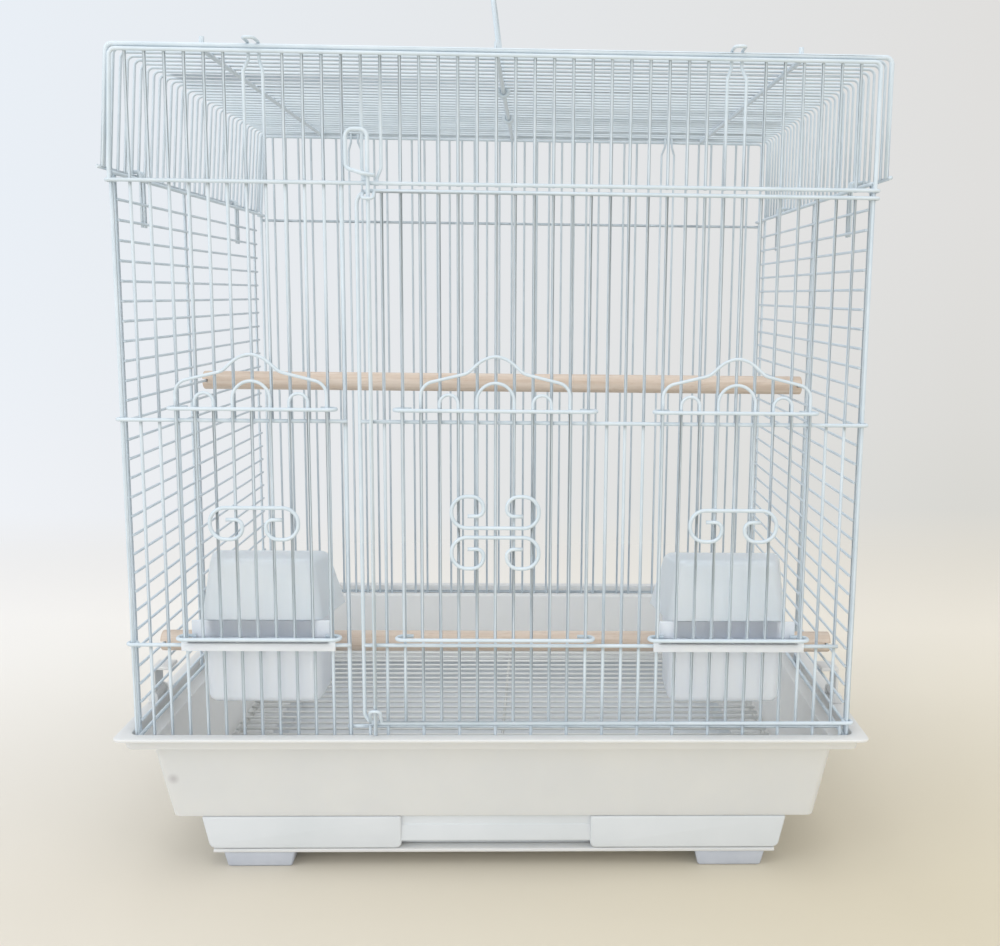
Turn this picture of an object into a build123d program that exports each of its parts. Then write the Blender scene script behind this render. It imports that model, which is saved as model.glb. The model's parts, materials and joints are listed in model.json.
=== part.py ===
from build123d import *
import math
import os

# Overall sizes of the cage, in millimetres.
# X runs to the viewer's right, +Y away from the viewer, Z up from the table.
cage_width = 460.0           # between the two front corner posts
cage_depth = 356.5           # from the front wires to the back wires
wire_spacing = 11.5          # nominal gap between upright wires
side_wire_spacing = 12.2     # nominal gap between the side panels' level wires

# Levels above the table.
foot_height = 11.0
drawer_front_height = 22.6
shelf_height = 39.3          # the inner shelf that the floor grille lies on
rim_height = 102.0
lower_rail_height = 161.2
mid_rail_height = 304.6
header_rail_height = 448.5
skirt_rod_height = 456.0
roof_height = 526.5

# Wires.
upright_radius = 1.0
rail_radius = 1.2
roof_wire_radius = 0.9
roof_bar_radius = 1.5
edge_wire_radius = 1.35      # the fixed panel's free edge
handle_radius = 1.5
weld_depth = 0.4             # how far two welded wires sink into each other
wire_gap = 0.3               # air between wires that slide or turn on each other

# Front panel, counted in wire gaps from the left post.
fixed_panel_gaps = 12
feeder_margin_gaps = 3       # from a corner post to its feeder opening
feeder_opening_gaps = 8
center_opening_gaps = 10
stile_inset = 8.3            # door stile to the right of the fixed panel's last wire
pin_inset = 15.5             # latch pin to the right of the fixed panel's last wire
header_clearance = 4.5       # door top rail below the header rail

# Guillotine doors.
door_travel = 125.0
top_rail_rise = 7.5          # top rail above the panel's mid rail
crown_pitch_count = 8        # the crown spans this many wire gaps

# Side panels.
edge_wire_inset = 6.5
stiffener_insets = (135.0, 147.0)
back_edge_gap = 31.5         # from the last side upright to the back wires
side_top_rod_rise = 4.2      # side panel's top rod above the header rail
first_side_wire_drop = 11.0  # first level wire below the header rail

# Roof. Its left side leans in towards the top and its right side stands upright.
left_skirt_overhang = 4.0    # skirt's lower end, outside the corner posts
right_skirt_overhang = 6.8
left_roof_inset = 1.0        # roof's upper left corner, inside the corner posts
roof_bend = 4.0
frame_lean = 3.3             # upper left corner of the front frame, inside the post
back_frame_lean = 4.7

# Base.
rim_overhang = 12.0
flange_thickness = 2.0       # thin edge on top of the rim
skirt_inset = 5.0            # rim's upright skirt, inside the flange's edge
rim_thickness = 9.0
rim_flat = 8.8               # width of the rim's top face
ledge_depth = 6.8            # the ledge that the wires stand on, below the rim top
wall_inset = 6.2             # tray wall's outer face at its top, inside the wire line
wall_thickness = 2.5
wall_draft = 9.2
wall_corner = 6.0
lower_box_inset = 36.0       # drawer housing's outer side, inside the wire line
lower_box_draft = 5.0
channel_height = 37.0        # bottom edge of the tray's front wall
foot_inset = 71.3            # foot's centre, inside the corner posts
foot_width = 48.0
foot_length = 30.0

# Perches and feeders.
perch_radius = 7.0
upper_perch_depth = 170.0
lower_perch_depth = 57.0
upper_perch_wire = 10        # level wire, counted from the top, that carries the perch
lower_perch_wire = 24
cup_depth = 44.3
cup_half_width = 38.0
cup_bottom_drop = 41.2       # cup bottom below the lower rail
cup_top_rise = 14.3          # cup top above the lower rail
cup_wall = 1.6
hood_height = 39.0

# Carrying handle.
handle_gaps = 10             # eyes stand this many roof gaps apart
handle_height = 80.0
handle_lean = 7.0

# Values worked out from the sizes above.
left = -cage_width / 2
right = cage_width / 2
front = -cage_depth / 2
back = cage_depth / 2
gaps_across = round(cage_width / wire_spacing)
gaps_deep = round(cage_depth / wire_spacing)
pitch = cage_width / gaps_across
deep_pitch = cage_depth / gaps_deep
ledge_height = rim_height - ledge_depth
rim_bottom = rim_height - rim_thickness
base_rod_height = ledge_height + rail_radius
rail_offset = upright_radius + rail_radius - weld_depth
rail_y = front - rail_offset
post_y = rail_y + 2 * rail_radius + wire_gap
door_top = header_rail_height - header_clearance
side_levels_top = header_rail_height - first_side_wire_drop
side_gap_count = round((side_levels_top - base_rod_height) / side_wire_spacing)
side_pitch = (side_levels_top - base_rod_height) / side_gap_count
door_bottom = rim_height + 7.3
sill_height = door_bottom - 2 * rail_radius - 1.0

left_opening = feeder_margin_gaps
right_opening = gaps_across - feeder_margin_gaps - feeder_opening_gaps
center_opening = round(gaps_across / 2) - round(center_opening_gaps / 2)
stile_x = left + fixed_panel_gaps * pitch + stile_inset
pin_x = left + fixed_panel_gaps * pitch + pin_inset
door_wire_y = rail_y - rail_radius - wire_gap - upright_radius
door_rail_y = door_wire_y - rail_offset
pin_y = rail_y - 2 * rail_radius - wire_gap
front_face = front + wall_inset + wall_draft


def upright_x(index):
    return left + index * pitch


def rod(start, end, radius):
    """A straight wire from one point to another."""
    direction = Vector(*end) - Vector(*start)
    plane = Plane(origin=start, z_dir=direction)
    return Solid.make_cylinder(radius, direction.length, plane)


def bent_wire(points, bend_radii, radius):
    """One wire of straight runs joined by round bends."""
    path = FilletPolyline(*points, radius=bend_radii)
    section = Plane(origin=path @ 0, z_dir=path % 0) * Circle(radius)
    return sweep(section, path=path).solid()


def welded(pieces):
    """Wires that touch become one welded piece."""
    joined = pieces[0].fuse(*pieces[1:])
    if isinstance(joined, (list, ShapeList)):
        joined = Compound(children=list(joined))
    return joined


def box_between(low, high):
    """A box from its lowest corner to its highest."""
    size = [high[i] - low[i] for i in range(3)]
    return Solid.make_box(size[0], size[1], size[2], Plane(origin=low))


def split_by(piece, boxes):
    """The parts of a flat panel that lie in each box, then what is left."""
    parts = []
    rest = piece
    for region in boxes:
        parts += (rest & region).solids()
        rest = rest - region
    parts += rest.solids()
    return parts


def hook_round(x, y, z, radius, start_angle, sweep_angle, wire_radius):
    """A hook of wire that runs part of the way round an upright post."""
    arc = CenterArc((x, y, z), radius, start_angle, sweep_angle)
    section = Plane(origin=arc @ 0, z_dir=arc % 0) * Circle(wire_radius)
    return sweep(section, path=arc).solid()


def write(name, shape):
    os.makedirs("parts", exist_ok=True)
    export_step(shape, f"parts/{name}.step")
    solids = shape.solids()
    volume = sum(s.volume for s in solids)
    print(f"{name}: {len(solids)} solids, {volume:.0f} mm3")


def as_group(solids):
    """Several solids that make one named piece."""
    return Compound(children=list(solids))


def post_hooks(x, heights, turn):
    """Hooks of the panel's rails round a corner post."""
    radius = post_y - rail_y
    return [hook_round(x, post_y, z, radius, -90, turn * 300, rail_radius) for z in heights]


# Fixed front panel: the header across the whole width, the narrow panel on the
# left with its feeder opening, and the sill under the door.
def make_front_frame():
    top_rod = roof_height - roof_bar_radius - rail_radius - wire_gap
    fixed_edge = upright_x(fixed_panel_gaps)
    opening_start = left_opening
    opening_end = left_opening + feeder_opening_gaps
    wires = []
    wires.append(rod((left, rail_y, header_rail_height), (right, rail_y, header_rail_height), rail_radius))
    frame_points = [(left, rail_y, header_rail_height), (left, rail_y, skirt_rod_height),
                    (left + frame_lean, rail_y, top_rod), (right, rail_y, top_rod),
                    (right, rail_y, header_rail_height)]
    wires.append(bent_wire(frame_points, [20, roof_bend, roof_bend], rail_radius))
    edge_x = fixed_edge - 1.0
    for z in (mid_rail_height, lower_rail_height):
        wires.append(rod((left, rail_y, z), (edge_x + edge_wire_radius, rail_y, z), rail_radius))
    wires.append(rod((left + 2.5, rail_y, base_rod_height), (right - 2.5, rail_y, base_rod_height),
                     rail_radius))
    sill_y = front + rail_offset
    wires.append(rod((edge_x - 2, sill_y, sill_height), (right - 4, sill_y, sill_height), rail_radius))
    wires += post_hooks(left, (header_rail_height, mid_rail_height, lower_rail_height), -1)
    wires += post_hooks(right, (header_rail_height,), 1)

    # Header wires. One pair near each end is drawn together to hook over the
    # roof bar, and the pair by the latch leans in to the pin.
    hook_starts = (7, gaps_across - 8)
    hook_wires = [k for start in hook_starts for k in (start, start + 1)]
    latch_wires = (fixed_panel_gaps + 1, fixed_panel_gaps + 2)
    for k in range(1, gaps_across):
        foot = header_rail_height - rail_radius
        if k < fixed_panel_gaps:
            foot = base_rod_height
        in_opening = opening_start < k < opening_end
        if in_opening:
            foot = mid_rail_height - rail_radius
        x = upright_x(k)
        if k in latch_wires:
            lean = 2.6 if k == latch_wires[1] else -1.3
            bend = header_rail_height + 9
            points = [(x - lean, front, foot), (x - lean, front, foot + 4), (x, front, bend),
                      (x, front, top_rod)]
            wires.append(bent_wire(points, [2.5, 2.5], upright_radius))
        elif k not in hook_wires:
            wires.append(rod((x, front, foot), (x, front, top_rod + 0.5), upright_radius))
        if in_opening:
            wires.append(rod((x, front, base_rod_height), (x, front, lower_rail_height + rail_radius - 0.1),
                             upright_radius))
    hook_feet = (mid_rail_height - rail_radius, header_rail_height - rail_radius)
    for start, foot in zip(hook_starts, hook_feet):
        wires.append(roof_hook(start, foot, top_rod, front, -1))

    # A thicker wire is the free edge of the fixed panel.
    wires.append(rod((edge_x, front, base_rod_height), (edge_x, front, header_rail_height), edge_wire_radius))

    # Short stubs hold the sill rail above the base rod.
    for k in [fixed_panel_gaps + 1] + list(range(fixed_panel_gaps + 2, gaps_across, 2)):
        x = upright_x(k)
        wires.append(rod((x, front, base_rod_height), (x, front, sill_height + rail_radius - 0.1),
                         upright_radius))
    wires.append(rod((right - 5, front, base_rod_height), (right - 5, front, sill_height + rail_radius - 0.1),
                     upright_radius))
    panel = welded(wires)

    # The panel is cut into flat fields, so that each opening stays open.
    reach = 30
    y_low = front - reach
    y_high = front + reach
    half = pitch / 2
    header = box_between((left - 20, y_low, header_rail_height - 5), (right + 20, y_high, roof_height + 20))
    sill = box_between((fixed_edge + half / 2, y_low, 80), (right + 20, y_high, sill_height + 3))
    upper = box_between((left - 20, y_low, mid_rail_height - 5),
                        (fixed_edge + half, y_high, header_rail_height - 5))
    post_side = box_between((left - 20, y_low, lower_rail_height - 5),
                            (upright_x(opening_start) + 3, y_high, mid_rail_height - 5))
    door_side = box_between((upright_x(opening_end) - 3, y_low, lower_rail_height - 5),
                            (fixed_edge + half, y_high, mid_rail_height - 5))
    return as_group(split_by(panel, (header, sill, upper, post_side, door_side)))


def roof_hook(start, foot, top_rod, y, outward):
    """Two upright wires, one bent wire, drawn together and looped over the roof's end bar."""
    x_left = upright_x(start)
    x_right = upright_x(start + 1)
    draw_in = 2.6
    behind = y - outward * (roof_bar_radius + upright_radius + wire_gap)
    over = roof_height + roof_bar_radius + upright_radius + wire_gap
    tip = y + outward * 10.0
    low = top_rod - 14
    points = [
        (x_left, y, foot),
        (x_left, y, low + 3),
        (x_left + draw_in, behind, low + 10),
        (x_left + draw_in, behind, over),
        (x_left + draw_in, tip, over),
        (x_right - draw_in, tip, over),
        (x_right - draw_in, behind, over),
        (x_right - draw_in, behind, low + 10),
        (x_right, y, low + 3),
        (x_right, y, foot),
    ]
    return bent_wire(points, [2.5, 2.5, 2.4, 2.4, 2.4, 2.4, 2.5, 2.5], upright_radius)


# Front door: hooks on the right corner post, a stile bent in one with the top
# and bottom rails, and openings for the middle door and the right feeder.
def make_front_door():
    openings = (
        (center_opening, center_opening + center_opening_gaps),
        (right_opening, right_opening + feeder_opening_gaps),
    )
    corner = 8.0
    frame = bent_wire(
        [(right, rail_y, door_top), (stile_x, rail_y, door_top), (stile_x, rail_y, door_bottom),
         (right, rail_y, door_bottom)],
        [corner, corner], rail_radius)
    last_wire = upright_x(gaps_across - 1)
    wires = [frame]
    rail_start = stile_x + rail_radius - weld_depth
    wires.append(rod((rail_start, rail_y, mid_rail_height), (right, rail_y, mid_rail_height), rail_radius))
    wires.append(rod((rail_start, rail_y, lower_rail_height), (last_wire + 2, rail_y, lower_rail_height),
                     rail_radius))
    wires += post_hooks(right, (door_top, mid_rail_height, door_bottom), 1)
    first = fixed_panel_gaps + 2
    for k in range(first, gaps_across):
        x = upright_x(k)
        low = door_bottom - rail_radius + 0.1
        high = door_top + rail_radius - 0.1
        if any(start < k < end for start, end in openings):
            under_low = lower_rail_height + rail_radius - 0.1
            over_mid = mid_rail_height - rail_radius + 0.1
            wires.append(rod((x, front, low), (x, front, under_low), upright_radius))
            wires.append(rod((x, front, over_mid), (x, front, high), upright_radius))
        else:
            wires.append(rod((x, front, low), (x, front, high), upright_radius))

    # Two staples carry the latch pin, one under the top rail and one over the
    # bottom rail.
    staple_y = pin_y - rail_radius - wire_gap - upright_radius
    half = 3.4
    for rail_z, tip_z in ((door_top, door_top - 4.8), (door_bottom, door_bottom + 9.6)):
        points = [
            (pin_x - half, rail_y, rail_z),
            (pin_x - half, staple_y, tip_z),
            (pin_x + half, staple_y, tip_z),
            (pin_x + half, rail_y, rail_z),
        ]
        wires.append(bent_wire(points, [2.2, 2.2], upright_radius))
    panel = welded(wires)

    reach = 30
    y_low = front - reach
    y_high = front + reach
    strip_low = lower_rail_height - 5
    strip_high = mid_rail_height - 5
    upper = box_between((left, y_low, strip_high), (right + 20, y_high, header_rail_height + 10))
    strips = []
    edges = [stile_x - 6]
    for start, end in openings:
        edges += [upright_x(start) + 3, upright_x(end) - 3]
    edges.append(right + 6)
    for i in range(0, len(edges), 2):
        strips.append(box_between((edges[i], y_low, strip_low), (edges[i + 1], y_high, strip_high)))
    return as_group(split_by(panel, [upper] + strips))


# Guillotine doors. Each hangs in front of its opening, and hairpins at both
# ends of its rails run round the upright on either side.
def hairpin_rail(x_left, x_right, z):
    """A rail whose ends turn back round the guide uprights."""
    inner_y = front + upright_radius + wire_gap + rail_radius
    bend = (inner_y - door_rail_y) / 2
    reach = bend + 0.7
    tail = 5.0
    points = [
        (x_left + tail, inner_y, z),
        (x_left - reach, inner_y, z),
        (x_left - reach, door_rail_y, z),
        (x_right + reach, door_rail_y, z),
        (x_right + reach, inner_y, z),
        (x_right - tail, inner_y, z),
    ]
    snug = bend - 0.01
    return bent_wire(points, [snug, snug, snug, snug], rail_radius)


def crown(x_center, z):
    """Ornamental arches that rise from the door's top rail."""
    half = crown_pitch_count / 2 * pitch
    rise = 16.0
    outer = bent_wire(
        [(x_center - half, door_wire_y, z), (x_center - half, door_wire_y, z + rise),
         (x_center - 1.5 * pitch, door_wire_y, z + 23), (x_center - 0.75 * pitch, door_wire_y, z + 31),
         (x_center, door_wire_y, z + 34.2), (x_center + 0.75 * pitch, door_wire_y, z + 31),
         (x_center + 1.5 * pitch, door_wire_y, z + 23), (x_center + half, door_wire_y, z + rise),
         (x_center + half, door_wire_y, z)],
        [9.0, 10.0, 18.0, 12.0, 18.0, 10.0, 9.0], upright_radius)
    arches = [outer]
    for offset, width, straight in ((-2.5, 1, 4.0), (0, 2, 5.7), (2.5, 1, 4.0)):
        x_mid = x_center + offset * pitch
        r = width * pitch / 2
        top = z + straight + r
        points = [(x_mid - r, door_wire_y, z), (x_mid - r, door_wire_y, top),
                  (x_mid + r, door_wire_y, top), (x_mid + r, door_wire_y, z)]
        arches.append(bent_wire(points, [r - 0.01, r - 0.01], upright_radius))
    return arches


def scroll(x_center, z_bar, direction):
    """Two facing curls joined by one bar; direction is +1 when the curls rise."""
    half = 1.5 * pitch
    r = 10.0
    outer = half + r
    inner = half - r
    y = door_rail_y
    depth = direction * 2 * r
    tip = direction * 7.5

    def side(s):
        return [
            (x_center + s * half, y, z_bar + tip),
            (x_center + s * inner, y, z_bar + tip),
            (x_center + s * inner, y, z_bar + depth),
            (x_center + s * outer, y, z_bar + depth),
            (x_center + s * outer, y, z_bar),
        ]

    points = side(-1) + side(1)[::-1]
    tight = 4.5
    wide = r - 0.4
    return bent_wire(points, [tight, 7.5, wide, wide, wide, wide, 7.5, tight], rail_radius)


def make_guillotine_door(start, count, scroll_rows):
    top_z = mid_rail_height + top_rail_rise
    bottom_z = lower_rail_height + rail_radius + wire_gap + cup_wall + wire_gap + rail_radius + 0.1
    x_left = upright_x(start)
    x_right = upright_x(start + count)
    x_center = (x_left + x_right) / 2
    wires = [hairpin_rail(x_left, x_right, bottom_z), hairpin_rail(x_left, x_right, top_z)]
    for k in range(start, start + count + 1):
        x = upright_x(k)
        wires.append(rod((x, door_wire_y, bottom_z - rail_radius + 0.1),
                         (x, door_wire_y, top_z + rail_radius - 0.1), upright_radius))
    wires += crown(x_center, top_z)
    for z, direction in scroll_rows:
        wires.append(scroll(x_center, z, direction))
    return welded(wires)


# Latch pin: one wire the height of the door, bent at the top into a finger loop
# whose end crosses in front of the pin.
def make_latch_pin():
    low = rim_height + wire_gap
    top = header_rail_height + 31.0
    loop_low = header_rail_height + 8.5
    loop_left = pin_x - 13.0
    cross_y = pin_y - 2 * rail_radius - wire_gap
    points = [
        (pin_x, pin_y, low),
        (pin_x, pin_y, top),
        (loop_left, pin_y, top),
        (loop_left, pin_y, loop_low),
        (pin_x - 4, cross_y, loop_low - 3.0),
        (pin_x + 4.5, cross_y, loop_low - 4.5),
    ]
    return bent_wire(points, [4.5, 4.5, 3.5, 3.0], rail_radius)


# Side panels: level wires welded inside four uprights, and two hairpins that
# hook over the roof's skirt rod.
def side_level(index):
    return side_levels_top - index * side_pitch


def make_side_panel(x, outward):
    wire_x = x - outward * (upright_radius + roof_wire_radius - weld_depth + 0.3)
    rod_x = x - outward * (upright_radius + rail_radius - weld_depth)
    top = header_rail_height + side_top_rod_rise
    bottom = base_rod_height + 3.2
    edge = front + edge_wire_inset
    last = back - back_edge_gap
    hook = 2 * rail_radius + wire_gap
    back_post_x = rod_x + outward * hook
    back_start = 0 if outward < 0 else 180
    wires = []
    wires.append(rod((x, post_y, ledge_height), (x, post_y, top + rail_radius), rail_radius))
    for y in [edge, last] + [front + inset for inset in stiffener_insets]:
        wires.append(rod((x, y, ledge_height + 1.0), (x, y, top + rail_radius), upright_radius + 0.1))
    wires.append(rod((rod_x, post_y - 0.8, bottom), (rod_x, last + 1, bottom), rail_radius))
    for z, y_start in ((top, post_y - 0.8), (rim_height + 2.2, last - 1)):
        wires.append(rod((rod_x, y_start, z), (rod_x, back, z), rail_radius))
        wires.append(hook_round(back_post_x, back, z, hook, back_start, -outward * 290, rail_radius))
    for i in range(side_gap_count):
        wires.append(rod((wire_x, edge - 0.8, side_level(i)), (wire_x, last + 0.8, side_level(i)),
                         roof_wire_radius))
    for k in (4.5, gaps_deep - 7.5):
        wires.append(skirt_hairpin(x, wire_x, front + k * deep_pitch, outward))
    return welded(wires)


def skirt_hairpin(x, wire_x, y, outward):
    """A hairpin welded to two level wires and looped over the skirt rod."""
    half = 3.0
    leg_x = wire_x + outward * (roof_wire_radius + upright_radius - weld_depth)
    clear = rail_radius + wire_gap + upright_radius
    over = skirt_rod_height + clear
    tip = skirt_rod_x(outward) + outward * clear
    points = [
        (leg_x, y - half, side_level(1) - 2),
        (leg_x, y - half, over),
        (tip, y - half, over),
        (tip, y + half, over),
        (leg_x, y + half, over),
        (leg_x, y + half, side_level(1) - 2),
    ]
    return bent_wire(points, [2.2, 2.2, 2.2, 2.2], upright_radius)


# Back panel: uprights from the ledge to the roof, with three rails.
def make_back_panel():
    top_rod = roof_height - roof_bar_radius - rail_radius - wire_gap
    rail = back + rail_offset
    wires = []
    for z in (base_rod_height, header_rail_height):
        wires.append(rod((left - 0.9, rail, z), (right + 0.9, rail, z), rail_radius))
    corner_x = right + 0.9
    frame_points = [(-corner_x, back, ledge_height), (-corner_x, back, skirt_rod_height),
                    (-corner_x + back_frame_lean, back, top_rod), (corner_x, back, top_rod),
                    (corner_x, back, ledge_height)]
    wires.append(bent_wire(frame_points, [20, roof_bend, roof_bend], rail_radius))
    hook_starts = (7, gaps_across - 8)
    hook_wires = [k for start in hook_starts for k in (start, start + 1)]
    for k in range(1, gaps_across):
        x = upright_x(k)
        if k not in hook_wires:
            wires.append(rod((x, back, base_rod_height - 1.1), (x, back, top_rod), upright_radius))
    for start in hook_starts:
        wires.append(roof_hook(start, base_rod_height - 1.1, top_rod, back, 1))
    return welded(wires)


# Roof: wires bent down at both sides into skirts, on three rods that run front
# to back. The first and last wires are thick bars.
def skirt_foot_x(outward):
    if outward < 0:
        return left - left_skirt_overhang
    return right + right_skirt_overhang


def skirt_rod_x(outward):
    return skirt_foot_x(outward) + outward * (rail_radius + roof_wire_radius - weld_depth)


def make_roof_panel():
    wires = []
    for k in range(gaps_deep + 1):
        end_wire = k in (0, gaps_deep)
        radius = roof_bar_radius if end_wire else roof_wire_radius
        y = front + k * deep_pitch
        points = [(skirt_foot_x(-1), y, skirt_rod_height), (left + left_roof_inset, y, roof_height),
                  (skirt_foot_x(1), y, roof_height), (skirt_foot_x(1), y, skirt_rod_height)]
        wires.append(bent_wire(points, [roof_bend, roof_bend], radius))
    for outward in (-1, 1):
        x = skirt_rod_x(outward)
        wires.append(rod((x, front - 4, skirt_rod_height), (x, back + 4, skirt_rod_height), rail_radius))
    rod_z = roof_rod_height()
    nub_y = front + 2 * roof_bar_radius - 0.1
    nub_top = roof_height + 5.5
    for x_front, x_back in ((left + 56.0, left + 57.5), (0, 0), (right - 47.5, right - 56.0)):
        nub_points = [(x_front, nub_y, nub_top), (x_front, nub_y, rod_z),
                      (x_back, -nub_y, rod_z), (x_back, -nub_y, nub_top)]
        wires.append(bent_wire(nub_points, [2.5, 2.5], roof_bar_radius))
    panel = welded(wires)
    cut = right - 10
    left_skirt = box_between((-cut - 60, front - 40, 400), (-cut, back + 40, roof_height + 20))
    right_skirt = box_between((cut, front - 40, 400), (cut + 60, back + 40, roof_height + 20))
    return as_group(split_by(panel, (left_skirt, right_skirt)))


def roof_rod_height():
    return roof_height - roof_wire_radius - roof_bar_radius + weld_depth


# Carrying handle: a bail whose two eyes turn on the middle roof rod.
def make_carry_handle():
    rod_z = roof_rod_height()
    eye = roof_bar_radius + wire_gap + handle_radius
    wires = []
    half_span = handle_gaps / 2 * deep_pitch
    for y in (-half_span, half_span):
        curl_plane = Plane(origin=(0, y, rod_z), x_dir=(1, 0, 0), z_dir=(0, -1, 0))
        curl = curl_plane * CenterArc((0, 0), eye, 90 + handle_lean - 15, 345)
        section = Plane(origin=curl @ 0, z_dir=curl % 0) * Circle(handle_radius)
        wires.append(sweep(section, path=curl).solid())
    lean = math.radians(handle_lean)
    top_x = -handle_height * math.sin(lean)
    top_z = rod_z + handle_height * math.cos(lean)
    foot_x = -eye * math.sin(lean)
    foot_z = rod_z + eye * math.cos(lean)
    points = [(foot_x, -half_span, foot_z), (top_x, -half_span, top_z),
              (top_x, half_span, top_z), (foot_x, half_span, foot_z)]
    wires.append(bent_wire(points, [24.0, 24.0], handle_radius))
    return welded(wires)


# Base tray: a moulded rim, sloping walls, a shelf round a square hole, and the
# drawer's housing below.
def tapered_block(width, depth, z_top, height, draft, corner):
    """A rounded block that narrows towards its bottom by the draft on each side."""
    top = Plane.XY.offset(z_top) * RectangleRounded(width, depth, corner)
    bottom = Plane.XY.offset(z_top - height) * RectangleRounded(width - 2 * draft, depth - 2 * draft, corner)
    return loft([bottom, top], ruled=True)


def make_base_tray():
    rim_width = cage_width + 2 * rim_overhang
    rim_depth = cage_depth + 2 * rim_overhang
    flange_bottom = rim_height - flange_thickness
    flange_outline = Plane.XY.offset(flange_bottom) * RectangleRounded(rim_width, rim_depth, 3.5)
    flange = extrude(flange_outline, flange_thickness)
    flange = fillet(flange.edges().filter_by(Plane.XY).group_by(Axis.Z)[-1], 0.8)
    skirt_top = flange_bottom + 0.5
    rim = flange + tapered_block(rim_width - 2 * skirt_inset, rim_depth - 2 * skirt_inset, skirt_top,
                                 skirt_top - rim_bottom, 1.0, 5)
    ledge_outline = RectangleRounded(rim_width - 2 * rim_flat, rim_depth - 2 * rim_flat, 1.5)
    ledge_cut = extrude(Plane.XY.offset(ledge_height) * ledge_outline, 20)
    body_width = cage_width - 2 * wall_inset
    body_depth = cage_depth - 2 * wall_inset
    body_top = rim_bottom + 0.5
    body = tapered_block(body_width, body_depth, body_top, body_top - channel_height, wall_draft, wall_corner)
    inner_top = ledge_height
    mouth_width = body_width - 2 * wall_thickness
    mouth_depth = body_depth - 2 * wall_thickness
    inside = tapered_block(mouth_width, mouth_depth, inner_top, inner_top - shelf_height, wall_draft,
                           wall_corner - 1.5)
    lower_width = cage_width - 2 * lower_box_inset
    lower_depth = body_depth - 2 * wall_draft - 14
    lower_y = 7.0
    housing_height = channel_height - foot_height + 0.1
    housing = Pos(0, lower_y, 0) * tapered_block(lower_width, lower_depth, channel_height + 0.1,
                                                 housing_height, lower_box_draft, 4)
    lip_half = lower_width / 2 - lower_box_draft
    drawer_lip = box_between((-lip_half, front_face, foot_height),
                             (lip_half, front + 60, foot_height + wall_thickness))
    tray = rim + body + housing + drawer_lip
    tray = tray - ledge_cut - inside

    # The drawer's channel opens at the front and up through the shelf.
    channel_half = drawer_half_width() + 0.8
    channel_back = channel_end()
    channel = box_between((-channel_half, front - 20, foot_height + wall_thickness),
                          (channel_half, channel_back, channel_height - 0.5))
    hole_half = channel_half - 4
    hole_front = front_face + 17
    hole_back = channel_back - 4
    hole = box_between((-hole_half, hole_front, channel_height - 2), (hole_half, hole_back, shelf_height + 5))
    tray = tray - channel - hole

    # Ears on the rim carry the two side clips.
    for outward in (-1, 1):
        for y_side in (-1, 1):
            tray = tray + clip_ear(outward, y_side)
    for outward in (-1, 1):
        bore = rod((clip_x(outward), clip_y() - 20, clip_z()), (clip_x(outward), clip_y() + 20, clip_z()),
                   clip_pin_radius + wire_gap)
        tray = tray - bore

    # The moulding is divided into its floor, its four straight walls, and the
    # shelf strips on each side, so that the hollows between them stay open.
    wide = cage_width
    over = rim_height + 40
    floor_top = foot_height + wall_thickness
    wall_line = mouth_depth / 2 - wall_draft
    fields = (
        box_between((-wide, -wide, 0), (wide, wide, floor_top)),
        box_between((-wide, -wide, shelf_height), (wide, -wall_line, over)),
        box_between((-wide, wall_line, shelf_height), (wide, wide, over)),
        box_between((-wide, -wall_line, shelf_height), (0, wall_line, over)),
        box_between((0, -wall_line, shelf_height), (wide, wall_line, over)),
        box_between((-wide, -wide, floor_top), (-hole_half, wide, shelf_height)),
        box_between((hole_half, -wide, floor_top), (wide, wide, shelf_height)),
        box_between((-hole_half, -wide, floor_top), (hole_half, hole_front, shelf_height)),
    )
    return as_group(split_by(tray, fields))


def drawer_half_width():
    return cage_width / 2 - lower_box_inset - lower_box_draft - wall_thickness - 1.5


def channel_end():
    return back - wall_inset - wall_draft - lower_box_draft - wall_thickness


# Drawer: an open box on the housing's floor with a wide front that has two
# raised panels and a finger recess between them.
drawer_wall = 2.0
drawer_gap = 0.5


def make_drawer():
    panel_thickness = 6.0
    raised = 4.0
    top = channel_height - drawer_gap
    bottom = top - drawer_front_height
    half = cage_width / 2 - lower_box_inset + 2
    slope = 5.0
    outline = Polyline((-half, top), (half, top), (half - slope, bottom), (-half + slope, bottom),
                       (-half, top))
    face_plane = Plane(origin=(0, front_face + raised, 0), x_dir=(1, 0, 0), z_dir=(0, -1, 0))
    face = make_face(face_plane * outline)
    panel = extrude(face, amount=-panel_thickness, dir=(0, -1, 0))
    recess_half = 63.0
    relief = extrude(face, amount=raised, dir=(0, -1, 0))
    finger = box_between((-recess_half, front_face - 1, bottom + 4.5),
                         (recess_half, front_face + 2.6, top + 1))
    relief = relief - finger
    wedge_plane = Plane(origin=(-recess_half, 0, 0), x_dir=(0, 1, 0), z_dir=(1, 0, 0))
    wedge_line = Polyline((front_face + 2, top - 6), (front_face + 7.5, bottom + 8),
                          (front_face + 7.5, bottom + 4.5), (front_face + 2, bottom + 4.5),
                          (front_face + 2, top - 6))
    scoop = extrude(make_face(wedge_plane * wedge_line), amount=2 * recess_half)
    body = panel + relief - scoop

    tub_half = drawer_half_width()
    tub_front = front_face + raised + panel_thickness - 0.5
    tub_back = channel_end() - 1.5
    floor = foot_height + wall_thickness + drawer_gap
    tub = box_between((-tub_half, tub_front, floor), (tub_half, tub_back, top - 1.5))
    hollow = box_between((-tub_half + drawer_wall, tub_front - 1 + drawer_wall, floor + drawer_wall),
                         (tub_half - drawer_wall, tub_back - drawer_wall, top + 5))
    return body + (tub - hollow)


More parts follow.
